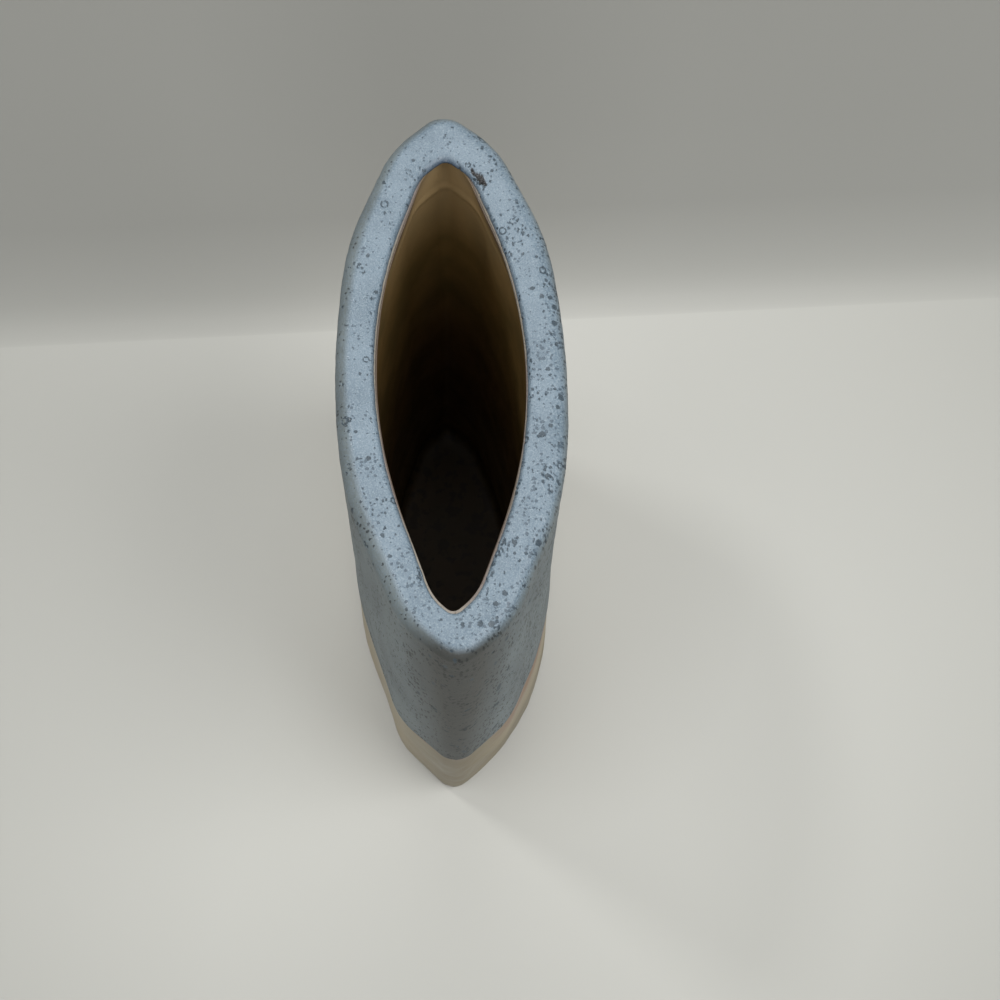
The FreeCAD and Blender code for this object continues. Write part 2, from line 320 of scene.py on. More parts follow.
        # On top the skin is glassy between grains, which breaks the light into sparks. The walls are dull
        glassy = add(tree, "ShaderNodeMapRange", {0: frost, 1: 0.37, 2: 0.52, 3: 0.13, 4: 0.5}).outputs[0]
        dull = add(tree, "ShaderNodeMath", {0: side, 1: self.dull_wall}, operation="MULTIPLY").outputs[0]
        rough = add(tree, "ShaderNodeMath", {0: glassy, 1: dull}, operation="MAXIMUM").outputs[0]
        tree.links.new(rough, shader.inputs["Roughness"])
        sunk = add(tree, "ShaderNodeMath", {0: pinhole, 1: 0.6, 2: deep}, operation="MULTIPLY_ADD").outputs[0]
        height = add(tree, "ShaderNodeMath", {0: frost, 1: sunk}, operation="SUBTRACT").outputs[0]
        bump = add(tree, "ShaderNodeBump", {"Strength": 0.6, "Distance": self.bump_mm * MM, "Height": height})
        tree.links.new(bump.outputs[0], shader.inputs["Normal"])
        shader.inputs["IOR"].default_value = self.ior
        return material


@dataclass(frozen=True)
class SandGlaze:
    """Satin sand glaze, dipped: beige, olive where it ran thin, olive at the near tip partly as painted
    shade, and orange-brown under the blue edge.
    """

    name: str = "satin_sand_glaze"
    body: str = "#93876D"
    pale: str = "#A6997D"
    olive: str = "#6B6048"
    rust: str = "#85583A"
    line: str = "#84695E"
    drift_mm: float = 22.0
    grain_mm: float = 1.1
    waver_mm: float = 9.0
    waver_height_mm: float = 7.0
    line_level_mm: float = 65.5
    line_mm: tuple[float, float] = (2.4, 0.8)
    rust_mm: tuple[float, float] = (28.0, 13.0)
    olive_mm: tuple[float, float] = (33.0, 47.0)
    strayed_mm: float = 26.0
    run_side_mm: tuple[float, float] = (8.0, -8.0)
    # Where the near tip's painted shade begins and where it is full
    tip_mm: tuple[float, float] = (-62.0, -77.0)
    bump_mm: float = 0.15
    ior: float = 1.5

    def build(self) -> bpy.types.Material:
        """Makes the material, whose stripes follow the height over the foot.

        Returns:
            The finished material.
        """
        material, tree, shader = fresh_material(self.name)
        place = add(tree, "ShaderNodeTexCoord").outputs["Object"]
        axes = add(tree, "ShaderNodeSeparateXYZ", {0: place})
        drift, grain, waver = (
            add(
                tree, "ShaderNodeTexNoise", {"Vector": place, "Scale": per_metre(size), "Detail": detail},
            ).outputs["Fac"]
            for size, detail in ((self.drift_mm, 3.0), (self.grain_mm, 2.0), (self.waver_mm, 2.0))
        )
        # Depth below the glaze line, wavering as poured glaze does
        level = add(
            tree, "ShaderNodeMath",
            {0: waver, 1: self.waver_height_mm * MM, 2: axes.outputs["Z"]}, operation="MULTIPLY_ADD",
        ).outputs[0]
        start = (self.line_level_mm + self.waver_height_mm / 2) * MM
        below = add(tree, "ShaderNodeMath", {0: start, 1: level}, operation="SUBTRACT").outputs[0]
        strayed = add(
            tree, "ShaderNodeMath",
            {0: drift, 1: self.strayed_mm * MM, 2: axes.outputs["Y"]}, operation="MULTIPLY_ADD",
        ).outputs[0]
        run_side, rust, olive, tip, line = (
            add(
                tree, "ShaderNodeMapRange", {0: along, 1: ends[0] * MM, 2: ends[1] * MM, 4: most},
                interpolation_type=fall.value,
            ).outputs[0]
            for along, ends, most, fall in (
                (strayed, self.run_side_mm, 1.0, Fall.SOFT),
                (below, self.rust_mm, 0.75, Fall.SOFT),
                (below, self.olive_mm, 0.7, Fall.SOFT),
                (axes.outputs["X"], self.tip_mm, 0.75, Fall.EVEN),
                (below, self.line_mm, 0.7, Fall.EVEN),
            )
        )
        # The side at -Y ran, in patches: rust under the line, a pale stripe, then olive down to the foot
        rust, olive = (
            add(tree, "ShaderNodeMath", {0: stripe, 1: run_side}, operation="MULTIPLY").outputs[0]
            for stripe in (rust, olive)
        )
        drifted = add(tree, "ShaderNodeMapRange", {0: drift, 1: 0.35, 2: 0.65}).outputs[0]
        grained = add(tree, "ShaderNodeMapRange", {0: grain, 1: 0.62, 2: 0.75, 4: 0.35}).outputs[0]
        colour = self.body
        # At the near tip the olive is partly painted shade
        layers = (
            (drifted, self.pale), (rust, self.rust), (olive, self.olive), (tip, self.olive),
            (line, self.line), (grained, self.olive),
        )
        for share, over in layers:
            colour = add(tree, "ShaderNodeMix", {0: share, 6: colour, 7: over}, data_type="RGBA").outputs[2]
        tree.links.new(colour, shader.inputs["Base Color"])
        dull = add(tree, "ShaderNodeMapRange", {0: drift, 1: 0.3, 2: 0.7, 3: 0.34, 4: 0.5})
        tree.links.new(dull.outputs[0], shader.inputs["Roughness"])
        bump = add(tree, "ShaderNodeBump", {"Strength": 0.25, "Distance": self.bump_mm * MM, "Height": grain})
        tree.links.new(bump.outputs[0], shader.inputs["Normal"])
        shader.inputs["IOR"].default_value = self.ior
        return material


@dataclass(frozen=True)
class LinerGlaze:
    """Glossy honey-brown liner glaze, poured: tan near the lip and lightest at the top of the far wall,
    partly painted light; speckled on the floor, which is painted darker as shade.
    """

    name: str = "glossy_honey_liner"
    honey: str = "#846A3F"
    olive: str = "#6C5933"
    tan: str = "#AE9770"
    # Painted shade in greyish brown along the liner's top edge on the sides
    lip: str = "#675B54"
    # Dark specks on the floor, and the floor's painted shade, darkest toward its far end
    ash_and_shade: str = "#33281A"
    drift_mm: float = 18.0
    ash_mm: float = 4.0
    # The tan band under the lip is partly painted light: lightest at the top and toward the far tip, browner
    # as painted shade along the sides
    tan_mm: tuple[float, float] = (166.0, 202.0)
    far_tip_lit_mm: tuple[float, float] = (28.0, 62.0)
    # Where the painted shade along the lip lies, and where it stops short of the far tip
    lip_shade_mm: tuple[float, float] = (204.0, 209.0)
    lip_shade_end_mm: tuple[float, float] = (68.0, 56.0)
    floor_mm: tuple[float, float] = (15.0, 9.0)
    # Where the floor's painted shade grows toward the far end
    far_floor_shade_mm: tuple[float, float] = (-52.0, -15.0)
    floor_dull: float = 0.52
    bump_mm: float = 0.3
    ior: float = 1.5

    def build(self) -> bpy.types.Material:
        """Makes the material, which is tan down to the seam under the rim, partly painted light, and speckled
        and painted darker as shade at the floor.

        Returns:
            The finished material.
        """
        material, tree, shader = fresh_material(self.name)
        place = add(tree, "ShaderNodeTexCoord").outputs["Object"]
        axes = add(tree, "ShaderNodeSeparateXYZ", {0: place})
        drift, ash_and_shade = (
            add(
                tree, "ShaderNodeTexNoise", {"Vector": place, "Scale": per_metre(size), "Detail": detail},
            ).outputs["Fac"]
            for size, detail in ((self.drift_mm, 4.0), (self.ash_mm, 5.0))
        )
        drifted = add(tree, "ShaderNodeMapRange", {0: drift, 1: 0.38, 2: 0.62}).outputs[0]
        ash_specks_and_shade = add(tree, "ShaderNodeMapRange", {0: ash_and_shade, 1: 0.52, 2: 0.6, 4: 0.85}).outputs[0]
        drained_and_lit, far, lip_shade, lip_shade_end, low, darker_to_far_tip = (
            add(
                tree, "ShaderNodeMapRange",
                {0: axes.outputs[axis], 1: ends[0] * MM, 2: ends[1] * MM, 3: least, 4: most},
            ).outputs[0]
            for axis, ends, least, most in (
                ("Z", self.tan_mm, 0.0, 0.85),
                ("X", self.far_tip_lit_mm, 0.15, 1.0),
                ("Z", self.lip_shade_mm, 0.0, 1.0),
                ("X", self.lip_shade_end_mm, 0.0, 0.85),
                ("Z", self.floor_mm, 0.0, 1.0),
                ("X", self.far_floor_shade_mm, 0.0, 0.8),
            )
        )
        # Tan at the far tip, partly painted light on the top of the far wall; painted shade in greyish brown
        # along the lip on the sides; fallen dark specks on the floor, partly painted shade; and painted shade
        # on the floor, darkest toward its far end
        colour = add(
            tree, "ShaderNodeMix", {0: drifted, 6: self.honey, 7: self.olive}, data_type="RGBA",
        ).outputs[2]
        layers = (
            (drained_and_lit, far, self.tan), (lip_shade, lip_shade_end, self.lip),
            (ash_specks_and_shade, low, self.ash_and_shade), (darker_to_far_tip, low, self.ash_and_shade),
        )
        for part, limit, over in layers:
            share = add(tree, "ShaderNodeMath", {0: part, 1: limit}, operation="MULTIPLY").outputs[0]
            colour = add(tree, "ShaderNodeMix", {0: share, 6: colour, 7: over}, data_type="RGBA").outputs[2]
        tree.links.new(colour, shader.inputs["Base Color"])
        gloss = add(tree, "ShaderNodeMapRange", {0: drift, 1: 0.3, 2: 0.7, 3: 0.3, 4: 0.42}).outputs[0]
        ashen = add(tree, "ShaderNodeMath", {0: low, 1: self.floor_dull}, operation="MULTIPLY").outputs[0]
        rough = add(tree, "ShaderNodeMath", {0: gloss, 1: ashen}, operation="MAXIMUM").outputs[0]
        tree.links.new(rough, shader.inputs["Roughness"])
        bump = add(tree, "ShaderNodeBump", {"Strength": 0.12, "Distance": self.bump_mm * MM, "Height": ash_and_shade})
        tree.links.new(bump.outputs[0], shader.inputs["Normal"])
        shader.inputs["IOR"].default_value = self.ior
        return material


@dataclass(frozen=True)
class BareClay:
    """Fired stoneware with no glaze, wiped with a sponge: matte pinkish cream with fine grog."""

    name: str = "bare_stoneware"
    body: str = "#A69F92"
    blush: str = "#978C86"
    grog: str = "#7D746B"
    blush_mm: float = 12.0
    grog_mm: float = 0.9
    bump_mm: float = 0.2
    roughness: float = 0.85

    def build(self) -> bpy.types.Material:
        """Makes the material.

        Returns:
            The finished material.
        """
        material, tree, shader = fresh_material(self.name)
        place = add(tree, "ShaderNodeTexCoord").outputs["Object"]
        blush, grog = (
            add(
                tree, "ShaderNodeTexNoise", {"Vector": place, "Scale": per_metre(size), "Detail": detail},
            ).outputs["Fac"]
            for size, detail in ((self.blush_mm, 3.0), (self.grog_mm, 2.0))
        )
        blushed = add(tree, "ShaderNodeMapRange", {0: blush, 1: 0.4, 2: 0.62}).outputs[0]
        grogged = add(tree, "ShaderNodeMapRange", {0: grog, 1: 0.58, 2: 0.7, 4: 0.6}).outputs[0]
        colour = self.body
        for share, over in ((blushed, self.blush), (grogged, self.grog)):
            colour = add(tree, "ShaderNodeMix", {0: share, 6: colour, 7: over}, data_type="RGBA").outputs[2]
        tree.links.new(colour, shader.inputs["Base Color"])
        bump = add(tree, "ShaderNodeBump", {"Strength": 0.4, "Distance": self.bump_mm * MM, "Height": grog})
        tree.links.new(bump.outputs[0], shader.inputs["Normal"])
        shader.inputs["Roughness"].default_value = self.roughness
        return material


@dataclass(frozen=True)
class Almond:
    """One level of the vase in plan: two broad arcs, four shoulders and two tips, joined by straights."""

    sizes: ClassVar[tuple[str, ...]] = ("half_length", "half_width", "tip", "broad", "shoulder")
    half_length: float
    half_width: float
    tip: float
    broad: float
    shoulder: float
    broad_turn: float = math.radians(20)
    shoulder_turn: float = math.radians(50)
    heart_share: float = 0.004

    def grown(self, by: float) -> "Almond":
        """Returns the outline moved outward all round by a distance."""
        return replace(self, **{size: getattr(self, size) + by for size in self.sizes})

    def towards(self, other: "Almond", share: float) -> "Almond":
        """Returns the outline that lies a share of the way to another one."""
        ways = {size: getattr(other, size) - getattr(self, size) for size in self.sizes}
        return replace(self, **{size: getattr(self, size) + way * share for size, way in ways.items()})

    def heart(self) -> "Almond":
        """Returns the outline shrunk to nearly nothing, which the rings of a floor close in on."""
        return replace(self, **{size: getattr(self, size) * self.heart_share for size in self.sizes})

    def straights(self) -> tuple[float, float]:
        """Works out the straight stretches, which close the outline tangent to all its arcs.

        Returns:
            The length of the flank beside the broad arc, and of the cheek beside the tip.
        """
        sin_b, cos_b = math.sin(self.broad_turn), math.cos(self.broad_turn)
        sin_s, cos_s = math.sin(self.shoulder_turn), math.cos(self.shoulder_turn)
        reach = (
            self.half_length - self.tip * (1 - sin_s) - self.broad * sin_b - self.shoulder * (sin_s - sin_b)
        )
        rise = (
            self.half_width - self.tip * cos_s - self.broad * (1 - cos_b) - self.shoulder * (cos_b - cos_s)
        )
        turned = cos_b * sin_s - cos_s * sin_b
        return (reach * sin_s - rise * cos_s) / turned, (cos_b * rise - sin_b * reach) / turned

    def walk(self, columns: int) -> list[Vector]:
        """Walks once round the outline in even steps, counterclockwise from the tip on +X.

        Args:
            columns: How many steps go round, a multiple of four.

        Returns:
            The points at height zero, one more than the steps, so that the last meets the first.
        """
        flank, cheek = self.straights()
        runs = [
            (self.tip, math.pi / 2 - self.shoulder_turn, 0.0),
            (math.inf, 0.0, cheek),
            (self.shoulder, self.shoulder_turn - self.broad_turn, 0.0),
            (math.inf, 0.0, flank),
            (self.broad, self.broad_turn, 0.0),
        ]
        lengths = [straight if turn == 0.0 else radius * turn for radius, turn, straight in runs]
        steps = columns // 4
        quarter = []
        for step in range(steps + 1):
            left = sum(lengths) * step / steps
            place, facing = Vector((self.half_length, 0.0, 0.0)), 0.0
            for (radius, turn, _), length in zip(runs, lengths):
                part = min(left, length)
                if turn == 0.0:
                    place = place + Vector((-math.sin(facing), math.cos(facing), 0.0)) * part
                else:
                    ahead = facing + part / radius
                    place = place + radius * Vector(
                        (math.cos(ahead) - math.cos(facing), math.sin(ahead) - math.sin(facing), 0.0)
                    )
                    facing = ahead
                left -= part
                if left <= 0.0:
                    break
            quarter.append(place)
        quarter[0].y = 0.0
        quarter[-1].x = 0.0
        back = [Vector((-p.x, p.y, 0.0)) for p in reversed(quarter)]
        half = quarter + back[1:]
        return half + [Vector((-p.x, -p.y, 0.0)) for p in half[1:]]


@dataclass(frozen=True)
class Ring:
    """One row of a coat: its outline, its height, and what its surface shows there."""

    outline: Almond
    level: float
    shown: float = 1.0
    pool: float = 0.0
    outer: float = 0.0
    lip: float = 0.0
    edge: float = 0.0


@dataclass(frozen=True)
class Bulge:
    """A place along the vase where its side stands out from the drawing, or in where it is below nought."""

    out: float
    place: float
    reach: float
    sides: tuple[int, ...] = (1, -1)

    def at(self, place: Vector) -> float:
        """Returns how far the side stands out at a point."""
        on_side = (1 if place.y > 0.0 else -1) in self.sides
        return self.out * math.exp(-(((place.x - self.place) / self.reach) ** 2)) if on_side else 0.0


@dataclass(frozen=True)
class Hand:
    """How the hand-built vase strays from its drawing, as the photograph shows it."""

    rim_bulges: tuple[Bulge, ...] = (
        Bulge(1.9 * MM, 45.0 * MM, 21.0 * MM),
        Bulge(1.4 * MM, -38.0 * MM, 21.0 * MM),
    )
    foot_bulges: tuple[Bulge, ...] = (
        Bulge(-3.3 * MM, -44.0 * MM, 22.0 * MM, (1,)),
        Bulge(-2.1 * MM, -58.6 * MM, 9.5 * MM, (-1,)),
        Bulge(1.4 * MM, -21.0 * MM, 17.0 * MM, (-1,)),
    )
    rim_low: float = 60.0 * MM
    rim_full: float = 200.0 * MM
    foot_high: float = 130.0 * MM
    foot_turn: float = 1.6 * MM
    foot_turn_power: int = 8
    tuck: float = 2.3 * MM
    lean: float = 1.3 * MM
    lean_power: int = 5
    bare_near: float = 0.8 * MM
    bare_side: float = 0.1 * MM
    far_from: float = 0.82
    # Where the blue greys and is painted darker as shade, from the rim's outer rounding down the walls
    grey_from: float = 0.75
    grey_lean: float = 0.1
    grey_width: float = 20.0 * MM
    grey_blend: float = 0.15

    def near(self, share: float, power: int = 6) -> float:
        """Returns one at the near tip, falling to nought along the sides, sooner with a higher power."""
        return max(0.0, -share) ** power

    def far(self, share: float) -> float:
        """Returns one at the far tip, falling to nought where the tip's arc ends."""
        part = clamp((share - self.far_from) / (1 - self.far_from))
        return part * part * (3 - 2 * part)

    def greyed_and_shaded(self, ring: Ring, place: Vector) -> float:
        """Returns how far the blue is greyed at a point, thinner glaze with painted shade on the walls and
        the rim's outer rounding, which on the +Y side begins further in.
        """
        start = self.grey_from - self.grey_lean * min(1.0, max(-1.0, place.y / self.grey_width))
        return clamp((ring.outer - start) / self.grey_blend)

    def moved(self, ring: Ring, place: Vector, outward: Vector) -> Vector:
        """Moves a point of a ring to where the potter's hand left it.

        Args:
            ring: The ring, with how far it follows the outside, the lip and the glaze's edge.
            place: The point as drawn.
            outward: The way out of the outline at that point.

        Returns:
            The point as made.
        """
        share = place.x / ring.outline.half_length
        rise = clamp((ring.level - self.rim_low) / (self.rim_full - self.rim_low))
        fall = max(0.0, 1 - ring.level / self.foot_high)
        swell = rise * sum(bulge.at(place) for bulge in self.rim_bulges)
        swell += fall * sum(bulge.at(place) for bulge in self.foot_bulges)
        made = place + outward * (swell * ring.outer)
        made.y += self.foot_turn * fall * self.near(share, self.foot_turn_power) * ring.outer
        bare = self.bare_side * (1 - self.far(share)) + (self.bare_near - self.bare_side) * self.near(share)
        made = made + outward * (bare * ring.edge)
        made.x -= self.tuck * self.far(share) * ring.edge
        made.y += self.lean * self.near(share, self.lean_power) * ring.lip
        return made


@dataclass(frozen=True)
class VaseForm:
    """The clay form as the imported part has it, from the foot up to the mouth."""

    tip: float = 7.5 * MM
    broad: float = 144.56 * MM
    shoulder: float = 28.49 * MM
    glaze: float = 0.75 * MM
    foot_half_length: float = 76.0 * MM
    foot_half_width: float = 34.75 * MM
    wall_foot: float = 6.0 * MM
    cavity_half_width: float = 24.5 * MM
    cavity_tip: float = 4.2 * MM
    mouth_half_length: float = 69.0 * MM
    mouth_half_width: float = 21.0 * MM
    mouth_tip: float = 2.6 * MM

    def rim(self) -> Almond:
        """Returns the clay outline of the rim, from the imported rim's own box."""
        low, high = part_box("rim_band")
        return Almond((high.x - low.x) / 2, (high.y - low.y) / 2, self.tip, self.broad, self.shoulder)

    def rim_levels(self) -> tuple[float, float]:
        """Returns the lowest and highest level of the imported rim."""
        low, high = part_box("rim_band")
        return low.z, high.z

    def foot(self) -> Almond:
        """Returns the clay outline of the foot."""
        return Almond(self.foot_half_length, self.foot_half_width, self.tip, self.broad, self.shoulder)

    def wall(self, level: float, by: float = 0.0) -> Almond:
        """Returns the outside of the clay at a level, grown by a distance."""
        share = clamp((level - self.wall_foot) / (self.rim_levels()[0] - self.wall_foot))
        return self.foot().towards(self.rim(), share).grown(by)

    def opening(self, half_width: float, tip: float, by: float) -> Almond:
        """Returns an outline as long as the mouth, grown by a distance."""
        radii = (radius - self.rim().half_width + half_width for radius in (self.broad, self.shoulder))
        return Almond(self.mouth_half_length, half_width, tip, *radii).grown(by)

    def mouth(self, by: float = 0.0) -> Almond:
        """Returns the outline of the mouth, grown by a distance."""
        return self.opening(self.mouth_half_width, self.mouth_tip, by)

    def cavity(self, by: float = 0.0) -> Almond:
        """Returns the outline of the space between the walls, grown by a distance."""
        return self.opening(self.cavity_half_width, self.cavity_tip, by)


@dataclass(frozen=True)
class Relief:
    """How far a hand-made surface stands off its true form: waver, ripple and tooth."""

    waver: float = 0.22 * MM
    waver_size: float = 34.0 * MM
    ripple: float = 0.11 * MM
    ripple_size: float = 4.0 * MM
    tooth: float = 0.05 * MM
    tooth_size: float = 1.3 * MM

    def at(self, place: Vector) -> tuple[float, float]:
        """Works out the relief at a place.

        Args:
            place: A point on the surface.

        Returns:
            The slow part, which neighbouring coats share, and the fine part.
        """
        slow = self.waver * noise.noise(place / self.waver_size)
        fine = self.ripple * noise.noise(place / self.ripple_size)
        fine += self.tooth * noise.noise(place / self.tooth_size)
        return slow, fine


@dataclass(frozen=True)
class Pitting:
    """Burst bubbles pressed into a coat: single pits, crowds of them, and open rings."""

    seed: int
    singles: int
    crowds: int
    rings: int
    smallest: float
    largest: float
    ring_size: float = 1.05 * MM
    ring_least: float = 0.75
    ring_most: float = 1.25
    crowd_reach: float = 3.2 * MM
    crowd_count: int = 9
    depth: float = 0.34 * MM
    deepest: float = 1.3
    hollow: float = 0.6
    lip: float = 0.09 * MM
    lip_place: float = 1.15
    lip_spread: float = 0.22
    groove_place: float = 0.78
    groove_spread: float = 0.24
    groove_depth: float = 0.6
    groove_dark: float = 0.75
    reach: float = 1.5
    busy_side: float = 0.45

    def dent(self, share: float, ring: bool) -> tuple[float, float]:
        """Works out the section of one pit.

        Args:
            share: The distance from its middle as a share of its radius.
            ring: True for a groove round an island that still stands.

        Returns:
            How far the surface moves out, and how dark it is, up to one.
        """
        out = self.lip * math.exp(-(((share - self.lip_place) / self.lip_spread) ** 2))
        if ring:
            sunk = math.exp(-(((share - self.groove_place) / self.groove_spread) ** 2))
            return out - self.depth * sunk * self.groove_depth, sunk * self.groove_dark
        sunk = max(0.0, 1 - share ** 2) ** self.hollow
        return out - self.depth * sunk, sunk

    def press(self, mesh: bmesh.types.BMesh, shown: list[bmesh.types.BMVert]) -> None:
        """Presses the pits into the shown part of a coat.

        Args:
            mesh: The coat, with its pit layer.
            shown: The vertices that may take a pit.
        """
        dice = random.Random(self.seed)
        layer = mesh.verts.layers.float["pit"]
        tree = kdtree.KDTree(len(shown))
        for index, vert in enumerate(shown):
            tree.insert(vert.co, index)
        tree.balance()
        normals = [vert.normal.copy() for vert in shown]
        places = [vert.co.copy() for vert in shown]
        moves = [0.0] * len(shown)

        def pick() -> Vector:
            """Picks a place, more often on the busy side at -Y."""
            while True:
                place = dice.choice(places)
                if place.y < 0.0 or dice.random() < self.busy_side:
                    return place

        def burst(centre: Vector, radius: float, ring: bool = False) -> None:
            """Sinks one pit, or one ring.

            Args:
                centre: The middle of the pit.
                radius: Its radius.
                ring: True for a groove round an island that still stands.
            """
            for _, index, distance in tree.find_range(centre, radius * self.reach):
                move, dark = self.dent(distance / radius, ring)
                moves[index] += move
                shown[index][layer] = min(1.0, max(shown[index][layer], dark))

        for _ in range(self.singles):
            burst(pick(), dice.uniform(self.smallest, self.largest))
        for _ in range(self.crowds):
            near = [index for _, index, _ in tree.find_range(pick(), self.crowd_reach)]
            for _ in range(self.crowd_count):
                burst(places[dice.choice(near)], dice.uniform(self.smallest, self.largest))
        for _ in range(self.rings):
            burst(pick(), self.ring_size * dice.uniform(self.ring_least, self.ring_most), True)
        for vert, normal, move in zip(shown, normals, moves):
            vert.co += normal * max(-self.deepest * self.depth, move)


@dataclass(frozen=True)
class Crack:
    """The short dark crack in the rim's glaze by the far tip: its ends in plan, and how it gapes."""

    start: tuple[float, float, float] = (63.6 * MM, -7.6 * MM, 0.0)
    end: tuple[float, float, float] = (58.4 * MM, -11.6 * MM, 0.0)
    half_width: float = 1.15 * MM
    narrow: float = 0.4
    depth: float = 0.35 * MM
    sway: float = 0.2 * MM
    sways: float = 9.0
    taper: float = 1.6
    steep: float = 2.0
    darkens: float = 5.0
    top_facing: float = 0.6

    def open(self, mesh: bmesh.types.BMesh) -> None:
        """Opens the crack in a coat.

        Args:
            mesh: The coat, with its crack layer.
        """
        start = Vector(self.start)
        along = Vector(self.end) - start
        aside = along.cross(UP).normalized()
        dark = mesh.verts.layers.float["crack"]
        shown = mesh.verts.layers.float["shown"]
        for vert in mesh.verts:
            if not vert[shown] or vert.normal.z < self.top_facing:
                continue
            flat = Vector((vert.co.x, vert.co.y, 0.0)) - start
            share = clamp(flat.dot(along) / along.length_squared)
            off = flat - along * share - aside * (self.sway * math.sin(share * self.sways))
            gape = self.narrow + (1 - self.narrow) * math.sin(math.pi * share ** self.taper)
            inside = max(0.0, 1 - off.length / (self.half_width * gape))
            vert.co.z -= self.depth * min(1.0, inside * self.steep)
            vert[dark] = min(1.0, inside * self.darkens)


@dataclass(frozen=True)
class Coat:
    """A layer that wraps the vase: rings of an almond outline skinned into one closed mesh."""

    name: str
    columns: int
    relief: Relief
    pitting: Pitting | None = None
    hidden: float = 0.05
    pitted_from: float = 0.9
    pool_and_shade_share: float = 0.35
    weld: float = 0.002 * MM

    def skin(self, rings: list[Ring], looped: bool) -> bmesh.types.BMesh:
        """Skins rings into a mesh, each column going up through all the rings.

        Args:
            rings: The rows, in order, with the visible side on the left of the way they run.
            looped: True where the last ring joins the first one.

        Returns:
            The mesh, with its normals outward and its surface in relief.
        """
        mesh = bmesh.new()
        names = ("pit", "pool", "crack", "side", "shown", "fade")
        _, pool, _, side, shown, fade = (mesh.verts.layers.float.new(name) for name in names)
        hand = Hand()
        rows = rings + rings[:1] if looped else rings
        last = len(rows) - 1
        bmesh.ops.create_grid(mesh, x_segments=self.columns, y_segments=last, size=0.5)
        walks = [ring.outline.walk(self.columns) for ring in rows]
        for vert in mesh.verts:
            column, row = round((vert.co.x + 0.5) * self.columns), round((vert.co.y + 0.5) * last)
            ring, walk = rows[row], walks[row]
            before, after = walk[(column - 1) % self.columns], walk[(column + 1) % self.columns]
            outward = (after - before).cross(UP).normalized()
            share = walk[column].x / ring.outline.half_length
            place = hand.moved(ring, walk[column], outward)
            vert.co = Vector((place.x, place.y, ring.level))
            # Darkening where the rim rolls into the mouth, partly painted shade: most at the far tip, none at
            # the near tip
            darker_to_far_tip = self.pool_and_shade_share + (1 - self.pool_and_shade_share) * hand.far(share)
            vert[pool] = ring.pool * darker_to_far_tip * (1 - hand.near(share))
            # Greyer glaze with painted shade on the walls and the rim's outer rounding
            vert[side] = hand.greyed_and_shaded(ring, place)
            vert[shown] = 1.0 if ring.shown > 0 else 0.0
            vert[fade] = ring.shown
        bmesh.ops.remove_doubles(mesh, verts=mesh.verts, dist=self.weld)
        bmesh.ops.recalc_face_normals(mesh, faces=mesh.faces)
        mesh.normal_update()
        moves = []
        for vert in mesh.verts:
            slow, fine = self.relief.at(vert.co)
            way = vert.normal.copy()
            if vert[fade] < self.hidden:
                way.z = 0.0
            moves.append(way.normalized() * (slow + fine * vert[fade]) if vert[shown] else Vector())
        for vert, move in zip(mesh.verts, moves):
            vert.co += move
        if self.pitting:
            mesh.normal_update()
            self.pitting.press(mesh, [vert for vert in mesh.verts if vert[fade] > self.pitted_from])
        # Creased where it turns under, a coat's shading runs on into its neighbour's
        for edge in mesh.edges:
            edge.smooth = any(vert[fade] >= self.hidden for vert in edge.verts)
        return mesh

    def finish(
        self, mesh: bmesh.types.BMesh, finish: bpy.types.Material, node: str, slot: Slot
    ) -> bpy.types.Object:
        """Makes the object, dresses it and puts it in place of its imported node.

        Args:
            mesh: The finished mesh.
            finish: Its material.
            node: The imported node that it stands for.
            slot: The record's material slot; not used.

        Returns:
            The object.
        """
        piece = smooth_object(self.name, mesh, finish)
        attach(piece, BODY)
        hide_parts(node)
        log.info("%s: %d faces for %s", self.name, len(piece.data.polygons), node)
        return piece


